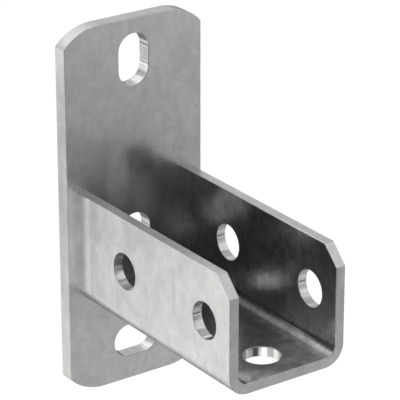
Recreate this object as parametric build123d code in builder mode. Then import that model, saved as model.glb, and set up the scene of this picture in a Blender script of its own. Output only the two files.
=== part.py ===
from build123d import *

import math
import os

# Strut saddle flange: a flat wall plate with a U-shaped saddle standing square on it.
# The end of a strut channel drops into the saddle from above and is bolted through its wings or its web.
# Millimetres, +Z up. The origin is the centre of the wall bolt hole on the plate's back face,
# so the plate stands in the plane y = 0 and the saddle reaches out along -Y, centred on the strut's axis.

# The strut channel that the saddle takes
strut_width = 41.0
strut_depth = 41.0
side_clearance = 0.5

# Saddle, bent from one strip of sheet
saddle_sheet = 4.0
saddle_length = 95.0
bend_inner_radius = 4.0
wing_corner_cut = 7.0

# Bolt holes through the wings and the web, at the same two stations
cross_hole_diameter = 14.0
web_hole_diameter = 14.0
front_station_inset = 15.0
station_pitch = 50.0

# Wall plate
plate_width = 60.0
plate_height = 145.0
plate_thickness = 6.0
saddle_below_middle = 11.0
corner_radius = 20.0
corner_overhang = 5.0

# Fixing holes in the plate: a slot upright at the top, a round hole behind the strut, a slot lying at the bottom
wall_hole_diameter = 13.0
slot_width = 13.0
slot_length = 20.0
slot_inset = 16.0

# Fillet weld that joins the web to the plate from below
weld_leg = 4.0
weld_bulge = 0.6
weld_end_margin = 2.0

# Saddle section. The strut's axis is at z = 0, so the web's upper face is half a strut below it
saddle_inner = strut_width + 2 * side_clearance
saddle_outer = saddle_inner + 2 * saddle_sheet
bend_outer_radius = bend_inner_radius + saddle_sheet
web_top_z = -strut_depth / 2
web_underside_z = web_top_z - saddle_sheet
wing_top_z = strut_depth / 2

# Stations along the saddle, as y values
saddle_root_y = -plate_thickness
saddle_front_y = saddle_root_y - saddle_length
front_station_y = saddle_front_y + front_station_inset
rear_station_y = front_station_y + station_pitch
stations = (front_station_y, rear_station_y)

# Places on the plate, as z values
plate_middle_z = saddle_below_middle
upper_slot_z = plate_middle_z + plate_height / 2 - slot_inset
lower_slot_z = plate_middle_z - plate_height / 2 + slot_inset


# Wall plate: each corner's arc runs on past the plate's side, so it meets the side at a crease
with BuildPart() as wall_plate:
    with BuildSketch(Plane.XZ) as plate_outline:
        with Locations((0, plate_middle_z)):
            Rectangle(plate_width, plate_height)
            RectangleRounded(plate_width + 2 * corner_overhang, plate_height, corner_radius, mode=Mode.INTERSECT)
        Circle(wall_hole_diameter / 2, mode=Mode.SUBTRACT)
        with Locations((0, upper_slot_z)):
            SlotOverall(slot_length, slot_width, rotation=90, mode=Mode.SUBTRACT)
        with Locations((0, lower_slot_z)):
            SlotOverall(slot_length, slot_width, mode=Mode.SUBTRACT)
    extrude(amount=plate_thickness)

wall_plate.part.label = "wall_plate"


# Saddle: the line of the bent sheet's inner face, thickened outwards, then run out from the plate
with BuildPart() as saddle:
    with BuildSketch(Plane.XZ.offset(plate_thickness)) as saddle_section:
        with BuildLine():
            FilletPolyline(
                (-saddle_inner / 2, wing_top_z),
                (-saddle_inner / 2, web_top_z),
                (saddle_inner / 2, web_top_z),
                (saddle_inner / 2, wing_top_z),
                radius=bend_inner_radius,
            )
            offset(amount=saddle_sheet, side=Side.RIGHT)
        make_face()
    extrude(amount=saddle_length)

    wing_top_edges = saddle.edges().filter_by(Axis.X).group_by(Axis.Z)[-1]
    chamfer(wing_top_edges.group_by(Axis.Y)[0], wing_corner_cut)

    with BuildSketch(Plane.YZ):
        with Locations(*[(station_y, 0) for station_y in stations]):
            Circle(cross_hole_diameter / 2)
    extrude(amount=saddle_outer / 2, both=True, mode=Mode.SUBTRACT)

    with BuildSketch(Plane.XY.offset(web_top_z)):
        with Locations(*[(0, station_y) for station_y in stations]):
            Circle(web_hole_diameter / 2)
    extrude(amount=-saddle_sheet, mode=Mode.SUBTRACT)

saddle.part.label = "saddle"


# Weld bead: a round-ended rod whose axis lies inside the corner, of which only the part below the web
# and in front of the plate is metal. Its face bulges a little past the straight line between its toes
half_chord = weld_leg / math.sqrt(2)
bead_radius = (half_chord**2 + weld_bulge**2) / (2 * weld_bulge)
axis_depth = (bead_radius - weld_bulge - half_chord) / math.sqrt(2)
bead_axis_y = saddle_root_y + axis_depth
bead_axis_z = web_underside_z + axis_depth
end_reach = math.sqrt(bead_radius**2 - 2 * axis_depth**2)
web_flat = saddle_outer - 2 * bend_outer_radius
bead_straight = web_flat - 2 * weld_end_margin - 2 * end_reach

with BuildPart() as web_weld:
    with Locations((0, bead_axis_y, bead_axis_z)):
        Cylinder(bead_radius, bead_straight, rotation=(0, 90, 0))
    with Locations(*[(side * bead_straight / 2, bead_axis_y, bead_axis_z) for side in (-1, 1)]):
        Sphere(bead_radius)
    with Locations((0, saddle_root_y, web_underside_z)):
        Box(
            web_flat,
            2 * bead_radius,
            2 * bead_radius,
            align=(Align.CENTER, Align.MAX, Align.MAX),
            mode=Mode.INTERSECT,
        )

web_weld.part.label = "web_weld"


os.makedirs("parts", exist_ok=True)
export_step(wall_plate.part, "parts/wall_plate.step")
export_step(saddle.part, "parts/saddle.step")
export_step(web_weld.part, "parts/web_weld.step")
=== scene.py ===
import math

import bmesh
import bpy
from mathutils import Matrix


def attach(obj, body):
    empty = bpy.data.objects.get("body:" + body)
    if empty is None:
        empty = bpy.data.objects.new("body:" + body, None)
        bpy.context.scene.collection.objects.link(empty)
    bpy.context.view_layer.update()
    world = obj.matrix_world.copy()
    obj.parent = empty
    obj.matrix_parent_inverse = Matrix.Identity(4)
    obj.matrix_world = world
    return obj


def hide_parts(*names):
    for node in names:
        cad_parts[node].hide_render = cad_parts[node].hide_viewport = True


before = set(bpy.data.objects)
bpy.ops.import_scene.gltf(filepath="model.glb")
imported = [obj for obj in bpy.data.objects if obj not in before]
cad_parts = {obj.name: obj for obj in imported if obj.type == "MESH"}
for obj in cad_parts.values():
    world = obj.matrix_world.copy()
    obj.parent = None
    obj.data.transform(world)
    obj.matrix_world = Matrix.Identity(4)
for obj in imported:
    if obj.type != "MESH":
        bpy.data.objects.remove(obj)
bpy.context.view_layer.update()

# Looks of a zinc-plated strut saddle flange: a wall plate, a bent saddle and the fillet weld under the saddle.
# Metres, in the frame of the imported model: +Z up, the wall at y = 0, the saddle reaching out along -Y.
# The camera stands at the front left, so the near wing is the one at -X.
MM = 0.001

# Camera, seen from the front left and above
camera_location = (-0.4763, -0.7234, 0.3740)
camera_heading = 35.194
camera_tilt = 22.825
camera_lens = 224.81
sensor_width = 36.0

# Faces of the plate and the saddle
plate_front_y = -6 * MM
saddle_front_y = -101 * MM
web_top_z = -20.5 * MM
web_underside_z = -24.5 * MM
wing_inside = 21 * MM
wing_outside = 25 * MM

# Broken edges: the sharp ones of each piece that lie in front of a plane, which leaves out the saddle's welded end
edge_break = 0.25 * MM
edge_break_segments = 2
edge_angle = 40
flat_angle = 0.1
same_point = 0.001 * MM
face_weight = 100
broken_before_y = {"wall_plate": 1 * MM, "saddle": plate_front_y - 0.01 * MM}

# Weld bead
weld_length = 30 * MM
weld_leg = 4 * MM
weld_bulge = 0.35 * MM
weld_bite = 0.15 * MM
weld_end_round = 2.2 * MM
weld_end_leg = 0.25
weld_steps_across = 16
weld_ripple_pitch = 1.3 * MM
weld_ripple_height = 0.16 * MM
weld_ripple_power = 0.7
weld_ripple_sweep = 0.9 * MM
weld_ripple_fade = 3
weld_steps_per_ripple = 9
# Slow waves in the bead's width: share of the leg, radians per millimetre and start
weld_sway = ((0.035, 0.83, 0.4), (0.025, 2.1, 1.3))

# Zinc plating, made of noises: size in millimetres and stretch along x, y and z
zinc_brightness = 0.5
zinc_roughness = (0.285, 0.335)
noise_range = (0.3, 0.7)
noise_mean = 0.5
zinc_noises = {
    "waves": {"size": 13, "stretch": (1, 1, 1.4), "detail": 1},
    "clouds": {"size": 9, "stretch": (1, 1, 1.3), "detail": 5, "roughness": 0.55, "distortion": 0.8},
    "blotches": {"size": 3, "stretch": (1, 1, 1.3), "detail": 4, "roughness": 0.6, "distortion": 0.5},
    "streaks": {"size": 1, "stretch": (1, 1, 12), "detail": 3},
    "grain": {"size": 0.4, "stretch": (1, 1, 1), "detail": 2},
}
# How far each noise changes the brightness, and how high it raises the surface, in millimetres
brightness_change = {"clouds": 0.08, "blotches": 0.08, "streaks": 0.012, "grain": 0.03}
surface_height = {"waves": 0.2, "blotches": 0.03, "grain": 0.002, "wall_streaks": 0.02}

# Boxes that hold the walls of the holes through the wings, the plate and the web, by the way through the sheet.
# Each leaves out a skin under both faces of the sheet. Side is the distance from the middle plane x = 0
hole_skin = 0.3 * MM
no_limit = -1
saddle_holes_y = (-94 * MM, -28 * MM)
hole_boxes = {
    "X": {"Side": (wing_inside + hole_skin, wing_outside - hole_skin), "Y": saddle_holes_y, "Z": (-8 * MM, 8 * MM)},
    "Y": {"Side": (no_limit, 12 * MM), "Y": (plate_front_y + hole_skin, -hole_skin), "Z": (-54 * MM, 79 * MM)},
    "Z": {"Side": (no_limit, 8 * MM), "Y": saddle_holes_y, "Z": (web_underside_z + hole_skin, web_top_z - hole_skin)},
}
wall_streaks = {"size": 1.2, "detail": 2}
wall_streak_stretch = 14
wall_streak_change = 0.5
wall_smoothing = 0.14

# Inside the channel the plating is smoother and its blotches stand out more; painted shade darkens it deep in the
# channel, towards the plate and the web
face_margin = 0.1 * MM
saddle_only_margin = 0.02 * MM
channel_smoothing = 0.07
channel_blotch_change = 0.16
recess_painted_shade = 0.29
recess_top_fade = (34 * MM, 4 * MM)
recess_front_fade = (-110 * MM, -45 * MM)

# Painted highlight, a light upright line on the near wing's outer face: where it fades out towards the plate and
# towards the front
root_highlight_change = 0.3
root_highlight_rear_fade = (-7.5 * MM, -11.5 * MM)
root_highlight_front_fade = (-14.5 * MM, -12.3 * MM)
near_wing_face_x = -24.8 * MM

# Painted reflections: brighter and duller patches on the plating that stand for mirror images, in millimetres: the
# face, as an axis and the band that the face lies in, the patch's centre and reach along the other two axes, and the
# change in brightness
plate_front = ("Y", -6.1, -5.7)
far_wing_inside = ("X", 20.9, 21.1)
web_top = ("Z", -20.6, -19.3)
painted_reflections = [
    (plate_front, (-7.8, 21), (5, 13), 0.42),
    (plate_front, (3, 28), (6, 7), -0.24),
    (far_wing_inside, (-31, 14.5), (10, 7), -0.4),
    (far_wing_inside, (-9, -4), (7, 7), 0.3),
    (web_top, (-14, -100), (10, 8), 0.5),
]
# Squares of the distances from a patch's centre, in reaches, between which it fades out
patch_fade = (1.6, 0.3)
front_end_margin = 0.3 * MM

# Studio: a white floor and surroundings
backdrop_brightness = 1.0
backdrop_fill = 0.6
floor_level = -0.35
floor_reach = 8.0
floor_grey = 0.85
floor_glow = 0.3
lamp_energy = 0.9
lamp_softness = 30
lamp_tilt = (-12, -10, 0)

# White to black cards that only the metal sees, made of flat panels about panel_step degrees wide
panel_step = 4
dome_radius = 2.5
card_lift = 0.002
white = (1.0, 1.0, 1.0)
warm_white = (1.0, 0.985, 0.94)
warm_cards = ("left_ring", "left_far")
# Cards in a dome around the part: compass headings, elevations and brightness
dome_cards = {
    "ceiling": ((0, 360), (66, 90), 0.4),
    "back_box_left": ((-75, 0), (34, 66), 1.7),
    "back_box": ((0, 45), (34, 66), 1.55),
    "back_mid_left": ((-75, -30), (14, 34), 0.8),
    "back_mid": ((-30, 15), (14, 34), 0.85),
    "behind": ((15, 45), (4, 34), 0.8),
    "back_low": ((-45, 15), (-8, 14), 1.35),
    "left_low": ((-75, -45), (-8, 14), 1.4),
    "right_dark": ((45, 75), (-8, 34), 0.2),
    "right_high": ((45, 105), (34, 66), 0.75),
    "right_mid": ((75, 105), (-8, 34), 0.65),
    "right_box": ((105, 150), (14, 54), 1.25),
    "right_low": ((105, 150), (-8, 14), 0.85),
    "right_top": ((105, 150), (54, 66), 0.47),
    "right_front": ((150, 165), (-8, 66), 0.35),
    "front_high": ((165, 195), (24, 66), 0.85),
    "front_high_lamp": ((195, 225), (14, 44), 0.38),
    "front_top": ((195, 225), (44, 66), 1.4),
    "front_left_high": ((225, 285), (24, 66), 0.39),
    "front_dark": ((165, 195), (-8, 24), 0.1),
    "front_dark_lamp": ((195, 225), (-8, 14), 0.6),
    "front_dark_left": ((225, 285), (-8, 24), 0.6),
    "behind_low": ((15, 45), (-8, 4), 0.21),
}
# Cards on the floor: compass headings, distances from the part and brightness
floor_cards = {
    "mat": ((0, 360), (0, 0.15), 0.43),
    "left_near": ((-75, -45), (0.15, 0.55), 1.3),
    "left_near2": ((-45, -15), (0.15, 0.55), 1.3),
    "left_ring": ((-75, -45), (0.55, 0.8), 1.8),
    "left_far": ((-75, -45), (0.8, 3), 1.95),
    "left_mid_near": ((-45, -15), (0.55, 0.8), 1.15),
    "left_mid_gap": ((-45, -15), (0.8, 1.2), 0.44),
    "left_mid_far": ((-45, -15), (1.2, 3), 1.8),
    "back_near": ((-15, 90), (0.15, 0.35), 0.38),
    "back_dark": ((-15, 90), (0.35, 3), 0.28),
    "right_floor": ((90, 120), (0.35, 3), 0.43),
    "plate_mat_right": ((120, 135), (0.35, 1.2), 1.1),
    "plate_mat_near": ((135, 165), (0.35, 0.8), 0.85),
    "plate_mat_mid": ((135, 165), (0.8, 1.2), 0.14),
    "plate_mat_far": ((120, 165), (1.2, 3), 1.1),
    "near_right": ((90, 195), (0.15, 0.35), 0.6),
    "front_dark_mat": ((165, 195), (0.35, 3), 0.12),
    "front_lamp_side": ((195, 210), (0.35, 0.8), 1.6),
    "front_side_far": ((195, 210), (0.8, 3), 0.37),
    "front_lamp": ((210, 240), (0.35, 0.8), 2.4),
    "front_lamp_far": ((210, 225), (0.8, 1.2), 1.9),
    "front_far": ((210, 225), (1.2, 3), 1.2),
    "front_far_left": ((225, 240), (0.8, 3), 1),
    "near_front": ((195, 240), (0.15, 0.35), 1.4),
    "near_front_left": ((240, 285), (0.15, 0.55), 1.3),
    "front_left_mat": ((240, 285), (0.55, 3), 0.9),
}


def add_object(name, data):
    thing = bpy.data.objects.new(name, data)
    bpy.context.scene.collection.objects.link(thing)
    return thing


def add_node(tree, kind, **settings):
    """Adds a node. Each setting is the value of the input of that name, or else of the node's own property."""
    node = tree.nodes.new(kind)
    for key, value in settings.items():
        if key in node.inputs:
            node.inputs[key].default_value = value
        else:
            setattr(node, key, value)
    return node


def empty_tree(owner):
    owner.use_nodes = True
    owner.node_tree.nodes.clear()
    return owner.node_tree


def math_node(tree, operation, *values):
    """Joins the values by the operation, from left to right."""
    result = values[0]
    for other in values[1:]:
        node = add_node(tree, "ShaderNodeMath", operation=operation)
        for socket, value in zip(node.inputs, (result, other)):
            if isinstance(value, (int, float)):
                socket.default_value = value
            else:
                tree.links.new(value, socket)
        result = node.outputs[0]
    return result


def map_range(tree, value, source, target, interpolation="LINEAR"):
    """Turns the source range into the target range, and what is outside it into the nearer end."""
    node = add_node(tree, "ShaderNodeMapRange", clamp=True, interpolation_type=interpolation)
    for side, ends in (("From", source), ("To", target)):
        node.inputs[f"{side} Min"].default_value, node.inputs[f"{side} Max"].default_value = ends
    tree.links.new(value, node.inputs["Value"])
    return node.outputs["Result"]


# Camera
def add_camera():
    camera = bpy.data.cameras.new("camera")
    camera.sensor_width = sensor_width
    camera.lens = camera_lens
    thing = add_object("camera", camera)
    thing.location = camera_location
    thing.rotation_euler = (math.radians(90 - camera_tilt), 0, math.radians(-camera_heading))
    bpy.context.scene.camera = thing
    bpy.context.scene.view_settings.view_transform = "Standard"


# Zinc-plated steel
def noise(tree, place, size, stretch, detail, roughness=0.5, distortion=0.0):
    """Cloudy noise from 0 to 1 whose blotches are about size millimetres across, longer where stretch is more."""
    mapping = add_node(tree, "ShaderNodeMapping", Scale=[1 / (size * MM * times) for times in stretch])
    texture = add_node(
        tree, "ShaderNodeTexNoise", Scale=1.0, Detail=detail, Roughness=roughness, Distortion=distortion
    )
    tree.links.new(place, mapping.inputs["Vector"])
    tree.links.new(mapping.outputs["Vector"], texture.inputs["Vector"])
    return texture.outputs["Fac"]


def spread(tree, value, low, high):
    """Turns a noise's usual range into low to high."""
    return map_range(tree, value, noise_range, (low, high))


def fade(tree, value, start, end):
    """0 where the value is at start, 1 where it is at end, and softly from one to the other in between."""
    return map_range(tree, value, (start, end), (0, 1), "SMOOTHSTEP")


def within(tree, value, low, high):
    """1 where the value lies between low and high, 0 everywhere else."""
    above = math_node(tree, "GREATER_THAN", value, low)
    below = math_node(tree, "LESS_THAN", value, high)
    return math_node(tree, "MULTIPLY", above, below)


def shaded(tree, tone, mask, change):
    """The tone, changed by that share where the mask is 1."""
    factor = math_node(tree, "ADD", 1.0, math_node(tree, "MULTIPLY", mask, change))
    return math_node(tree, "MULTIPLY", tone, factor)


def axes_of(tree, place):
    """The place's X, Y and Z, and Side, its distance from the middle plane x = 0."""
    split = add_node(tree, "ShaderNodeSeparateXYZ")
    tree.links.new(place, split.inputs[0])
    axes = {name: split.outputs[name] for name in "XYZ"}
    axes["Side"] = math_node(tree, "ABSOLUTE", axes["X"], 0)
    return axes


def in_channel(tree, axes, back_y):
    """1 between the wings, above the web and in front of the plane y = back_y, 0 everywhere else."""
    between = math_node(tree, "LESS_THAN", axes["Side"], wing_inside + face_margin)
    above = math_node(tree, "GREATER_THAN", axes["Z"], web_top_z - face_margin)
    before = math_node(tree, "LESS_THAN", axes["Y"], back_y)
    return math_node(tree, "MULTIPLY", between, above, before)


def saddle_inside(tree, axes):
    """1 on the saddle's faces inside the channel, 0 everywhere else."""
    return in_channel(tree, axes, plate_front_y - saddle_only_margin)


def recess(tree, axes):
    """Mask of the painted shade: 1 deep in the channel, also on the plate there, fading out towards its open top and
    front.
    """
    from_top = fade(tree, axes["Z"], *recess_top_fade)
    from_front = fade(tree, axes["Y"], *recess_front_fade)
    deep = math_node(tree, "MULTIPLY", from_top, from_front)
    return math_node(tree, "MULTIPLY", in_channel(tree, axes, plate_front_y + face_margin), deep)


def painted_root_highlight(tree, axes):
    """Mask of the painted highlight: 1 along a light upright line on the near wing's outer face, 0 everywhere else."""
    rear = fade(tree, axes["Y"], *root_highlight_rear_fade)
    front = fade(tree, axes["Y"], *root_highlight_front_fade)
    outer_face = math_node(tree, "LESS_THAN", axes["X"], near_wing_face_x)
    return math_node(tree, "MULTIPLY", rear, front, outer_face)


def reflection_patch(tree, axes, face, centre, reach):
    """Mask of a painted reflection: 1 in a soft oval patch on one face, 0 everywhere else and on the saddle's front
    end.
    """
    face_axis, low, high = face
    squares = []
    for name, middle, size in zip([name for name in "XYZ" if name != face_axis], centre, reach):
        away = math_node(tree, "DIVIDE", math_node(tree, "SUBTRACT", axes[name], middle * MM), size * MM)
        squares.append(math_node(tree, "POWER", away, 2))
    oval = fade(tree, math_node(tree, "ADD", *squares), *patch_fade)
    behind_end = math_node(tree, "GREATER_THAN", axes["Y"], saddle_front_y + front_end_margin)
    on_face = within(tree, axes[face_axis], low * MM, high * MM)
    return math_node(tree, "MULTIPLY", oval, behind_end, on_face)


def hole_walls(tree, place, axes):
    """1 on the walls of all the holes, and streaks on them that run through the sheet."""
    walls = []
    streaks = []
    for way_through, box in hole_boxes.items():
        wall = math_node(tree, "MULTIPLY", *(within(tree, axes[name], *limits) for name, limits in box.items()))
        stretch = [wall_streak_stretch if name == way_through else 1 for name in "XYZ"]
        streak = noise(tree, place, stretch=stretch, **wall_streaks)
        walls.append(wall)
        streaks.append(math_node(tree, "MULTIPLY", streak, wall))
    return math_node(tree, "MAXIMUM", *walls), math_node(tree, "ADD", *streaks)


def zinc_tone(tree, axes, noises, wall, inner_face):
    """Brightness of the zinc: clouds, blotches, streaks and grain, then what differs from place to place: a painted
    highlight, painted reflections and painted shade.
    """
    varied = [spread(tree, noises[name], 1 - change, 1 + change) for name, change in brightness_change.items()]
    tone = math_node(tree, "MULTIPLY", *varied)
    streaks_mean = math_node(tree, "MULTIPLY", wall, noise_mean)
    streaks = math_node(tree, "SUBTRACT", noises["wall_streaks"], streaks_mean)
    tone = shaded(tree, tone, streaks, wall_streak_change)
    # Painted highlight along the near wing's outer face, by the plate
    tone = shaded(tree, tone, painted_root_highlight(tree, axes), root_highlight_change)
    # Painted reflections: brighter and darker patches on the plate, the far wing's inside and the web
    for face, centre, reach, change in painted_reflections:
        tone = shaded(tree, tone, reflection_patch(tree, axes, face, centre, reach), change)
    blotches = spread(tree, noises["blotches"], -channel_blotch_change, channel_blotch_change)
    tone = shaded(tree, tone, inner_face, blotches)
    # Painted shade: darker deep in the channel, towards the plate and the web
    return shaded(tree, tone, recess(tree, axes), -recess_painted_shade)


def zinc_plated_steel():
    material = bpy.data.materials.new("zinc_plated_steel")
    tree = empty_tree(material)
    place = add_node(tree, "ShaderNodeTexCoord").outputs["Object"]
    axes = axes_of(tree, place)
    noises = {name: noise(tree, place, **settings) for name, settings in zinc_noises.items()}
    wall, noises["wall_streaks"] = hole_walls(tree, place, axes)
    inner_face = saddle_inside(tree, axes)

    colour = add_node(tree, "ShaderNodeCombineColor")
    level = math_node(tree, "MULTIPLY", zinc_tone(tree, axes, noises, wall, inner_face), zinc_brightness)
    for channel in ("Red", "Green", "Blue"):
        tree.links.new(level, colour.inputs[channel])

    roughness = math_node(
        tree,
        "SUBTRACT",
        spread(tree, noises["clouds"], *zinc_roughness),
        math_node(tree, "MULTIPLY", wall, wall_smoothing),
        math_node(tree, "MULTIPLY", inner_face, channel_smoothing),
    )

    heights = [math_node(tree, "MULTIPLY", noises[name], height) for name, height in surface_height.items()]
    bump = add_node(tree, "ShaderNodeBump", Strength=1.0, Distance=1 * MM)
    tree.links.new(math_node(tree, "ADD", *heights), bump.inputs["Height"])

    shader = add_node(tree, "ShaderNodeBsdfPrincipled", Metallic=1.0)
    tree.links.new(colour.outputs["Color"], shader.inputs["Base Color"])
    tree.links.new(roughness, shader.inputs["Roughness"])
    tree.links.new(bump.outputs["Normal"], shader.inputs["Normal"])
    output = add_node(tree, "ShaderNodeOutputMaterial")
    tree.links.new(shader.outputs["BSDF"], output.inputs["Surface"])
    return material


def dress(piece, material):
    piece.data.materials.clear()
    piece.data.materials.append(material)


# Broken edges
def edges_to_break(before_y):
    """Nodes that mark the sharp edges in front of the plane y = before_y for the bevel, and keep the others sharp."""
    tree = bpy.data.node_groups.new("edges_to_break", "GeometryNodeTree")
    for in_out in ("INPUT", "OUTPUT"):
        tree.interface.new_socket("Geometry", in_out=in_out, socket_type="NodeSocketGeometry")
    angle = add_node(tree, "GeometryNodeInputMeshEdgeAngle").outputs["Unsigned Angle"]
    split = add_node(tree, "ShaderNodeSeparateXYZ")
    tree.links.new(add_node(tree, "GeometryNodeInputPosition").outputs["Position"], split.inputs[0])
    sharp = math_node(tree, "GREATER_THAN", angle, math.radians(edge_angle))
    free = math_node(tree, "LESS_THAN", split.outputs["Y"], before_y)
    geometry = add_node(tree, "NodeGroupInput").outputs[0]
    for attribute, data_type, value in (
        ("bevel_weight_edge", "FLOAT", math_node(tree, "MULTIPLY", sharp, free)),
        ("sharp_edge", "BOOLEAN", math_node(tree, "GREATER_THAN", sharp, free)),
    ):
        store = add_node(tree, "GeometryNodeStoreNamedAttribute", domain="EDGE", data_type=data_type)
        store.inputs["Name"].default_value = attribute
        tree.links.new(geometry, store.inputs["Geometry"])
        tree.links.new(value, store.inputs["Value"])
        geometry = store.outputs[0]
    tree.links.new(geometry, add_node(tree, "NodeGroupOutput").inputs[0])
    return tree


def break_edges(piece, before_y):
    """Rounds a CAD piece's sharp edges a little, as shearing, punching and plating leave them."""
    weld = piece.modifiers.new("join_corners", "WELD")
    weld.merge_threshold = same_point
    merge = piece.modifiers.new("flat_faces", "DECIMATE")
    merge.decimate_type = "DISSOLVE"
    merge.angle_limit = math.radians(flat_angle)
    mark = piece.modifiers.new("edges_to_break", "NODES")
    mark.node_group = edges_to_break(before_y)
    bevel = piece.modifiers.new("edge_break", "BEVEL")
    bevel.width = edge_break
    bevel.segments = edge_break_segments
    bevel.limit_method = "WEIGHT"
    bevel.loop_slide = False
    flats = piece.modifiers.new("face_normals", "WEIGHTED_NORMAL")
    flats.weight = face_weight
    flats.keep_sharp = True


# Weld bead
def weld_ring(x):
    """Section of the bead at x: its face from the web's underside to the plate, then the corner that it bites into."""
    from_end = weld_length / 2 - abs(x)
    end_scale = 1.0
    if from_end < weld_end_round:
        end_scale = math.sqrt(max(0.0, 1 - (1 - from_end / weld_end_round) ** 2))
    sway = 1.0
    for share, rate, start in weld_sway:
        sway += share * math.sin(x / MM * rate + start)
    leg = (weld_leg - 2 * weld_ripple_height) * sway * (weld_end_leg + (1 - weld_end_leg) * end_scale)
    ring = []
    for j in range(weld_steps_across + 1):
        t = j / weld_steps_across
        crown = 4 * t * (1 - t)
        phase = (x + weld_ripple_sweep * crown) / weld_ripple_pitch
        ripple = weld_ripple_height * abs(math.sin(math.pi * phase)) ** weld_ripple_power * end_scale
        ripple *= min(1.0, weld_ripple_fade * crown)
        out = weld_bulge * crown * end_scale + ripple
        y = plate_front_y - leg * (1 - t) - out * math.sqrt(0.5)
        z = web_underside_z - leg * t - out * math.sqrt(0.5)
        ring.append((x, y, z))
    ring.append((x, plate_front_y + weld_bite, web_underside_z - leg))
    ring.append((x, plate_front_y + weld_bite, web_underside_z + weld_bite))
    ring.append((x, plate_front_y - leg, web_underside_z + weld_bite))
    return ring


def weld_bead():
    """Fillet weld under the web, with a ripple for each pulse of the weld and both ends rounded off."""
    stations = round(weld_length / weld_ripple_pitch * weld_steps_per_ripple)
    rings = [weld_ring(weld_length * (i / stations - 0.5)) for i in range(stations + 1)]
    count = len(rings[0])
    points = [point for ring in rings for point in ring]
    faces = [
        (r * count + c, r * count + (c + 1) % count, (r + 1) * count + (c + 1) % count, (r + 1) * count + c)
        for r in range(stations)
        for c in range(count)
    ]
    faces.append(tuple(reversed(range(count))))
    faces.append(tuple(range(stations * count, (stations + 1) * count)))
    mesh = bpy.data.meshes.new("weld_bead")
    mesh.from_pydata(points, [], faces)
    shape = bmesh.new()
    shape.from_mesh(mesh)
    bmesh.ops.recalc_face_normals(shape, faces=shape.faces)
    for face in shape.faces:
        face.smooth = True
    shape.to_mesh(mesh)
    shape.free()
    return add_object("weld_bead", mesh)


# Studio
def seen_or_fill(tree, seen, fill):
    """Shows the shader seen to the camera and in reflections, and fill to all other light."""
    path = add_node(tree, "ShaderNodeLightPath")
    either = math_node(tree, "MAXIMUM", path.outputs["Is Camera Ray"], path.outputs["Is Glossy Ray"])
    mix = add_node(tree, "ShaderNodeMixShader")
    tree.links.new(either, mix.inputs[0])
    tree.links.new(fill, mix.inputs[1])
    tree.links.new(seen, mix.inputs[2])
    return mix.outputs[0]


def add_world():
    world = bpy.data.worlds.new("studio")
    bpy.context.scene.world = world
    tree = empty_tree(world)
    seen = add_node(tree, "ShaderNodeBackground", Color=(*white, 1), Strength=backdrop_brightness)
    fill = add_node(tree, "ShaderNodeBackground", Color=(*white, 1), Strength=backdrop_fill)
    output = add_node(tree, "ShaderNodeOutputWorld")
    tree.links.new(seen_or_fill(tree, seen.outputs[0], fill.outputs[0]), output.inputs["Surface"])


def add_floor():
    mesh = bpy.data.meshes.new("floor")
    reach = floor_reach
    corners = [(-reach, -reach), (reach, -reach), (reach, reach), (-reach, reach)]
    mesh.from_pydata([(x, y, floor_level) for x, y in corners], [], [(0, 1, 2, 3)])
    floor = add_object("floor", mesh)
    material = bpy.data.materials.new("floor_white")
    tree = empty_tree(material)
    matt = add_node(tree, "ShaderNodeBsdfDiffuse", Color=(floor_grey, floor_grey, floor_grey, 1))
    glow = add_node(tree, "ShaderNodeEmission", Strength=floor_glow)
    both = add_node(tree, "ShaderNodeAddShader")
    tree.links.new(matt.outputs[0], both.inputs[0])
    tree.links.new(glow.outputs[0], both.inputs[1])
    output = add_node(tree, "ShaderNodeOutputMaterial")
    tree.links.new(seen_or_fill(tree, both.outputs[0], matt.outputs[0]), output.inputs["Surface"])
    dress(floor, material)


def add_lamp():
    """A soft lamp above the part, which the metal doesn't mirror."""
    sun = bpy.data.lights.new("overhead", "SUN")
    sun.energy = lamp_energy
    sun.angle = math.radians(lamp_softness)
    lamp = add_object("overhead", sun)
    lamp.rotation_euler = [math.radians(angle) for angle in lamp_tilt]
    lamp.visible_glossy = False


def card(name, rows, brightness):
    """A card or soft box made of rows of points. The camera and the floor don't see it: only the metal does."""
    mesh = bpy.data.meshes.new(name)
    width = len(rows[0])
    faces = [
        (r * width + c, r * width + c + 1, (r + 1) * width + c + 1, (r + 1) * width + c)
        for r in range(len(rows) - 1)
        for c in range(width - 1)
    ]
    mesh.from_pydata([point for row in rows for point in row], [], faces)
    thing = add_object(name, mesh)
    material = bpy.data.materials.new(name)
    tree = empty_tree(material)
    tint = warm_white if name in warm_cards else white
    glow = add_node(tree, "ShaderNodeEmission", Strength=brightness, Color=(*tint, 1))
    output = add_node(tree, "ShaderNodeOutputMaterial")
    tree.links.new(glow.outputs[0], output.inputs["Surface"])
    dress(thing, material)
    thing.visible_camera = thing.visible_diffuse = thing.visible_shadow = False


def steps(start, end):
    """Values from start to end, evenly spaced and about panel_step apart."""
    count = max(1, round(abs(end - start) / panel_step))
    return [start + (end - start) * i / count for i in range(count + 1)]


def heading(angle, radius, height):
    """A point at that compass heading, in degrees clockwise from +Y."""
    a = math.radians(angle)
    return (radius * math.sin(a), radius * math.cos(a), height)


def dome_rows(headings, elevations):
    rows = []
    for elevation in steps(*elevations):
        e = math.radians(elevation)
        rows.append([heading(h, dome_radius * math.cos(e), dome_radius * math.sin(e)) for h in steps(*headings)])
    return rows


def floor_rows(headings, radii):
    return [[heading(h, radius, floor_level + card_lift) for h in steps(*headings)] for radius in radii]


def add_studio():
    add_world()
    add_floor()
    add_lamp()
    for name, (headings, elevations, brightness) in dome_cards.items():
        card(name, dome_rows(headings, elevations), brightness)
    for name, (headings, radii, brightness) in floor_cards.items():
        card(name, floor_rows(headings, radii), brightness)


add_camera()
steel = zinc_plated_steel()
for name, before_y in broken_before_y.items():
    dress(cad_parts[name], steel)
    break_edges(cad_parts[name], before_y)
dress(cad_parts["web_weld"], steel)

bead = weld_bead()
dress(bead, steel)
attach(bead, "root")
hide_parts("web_weld")
add_studio()
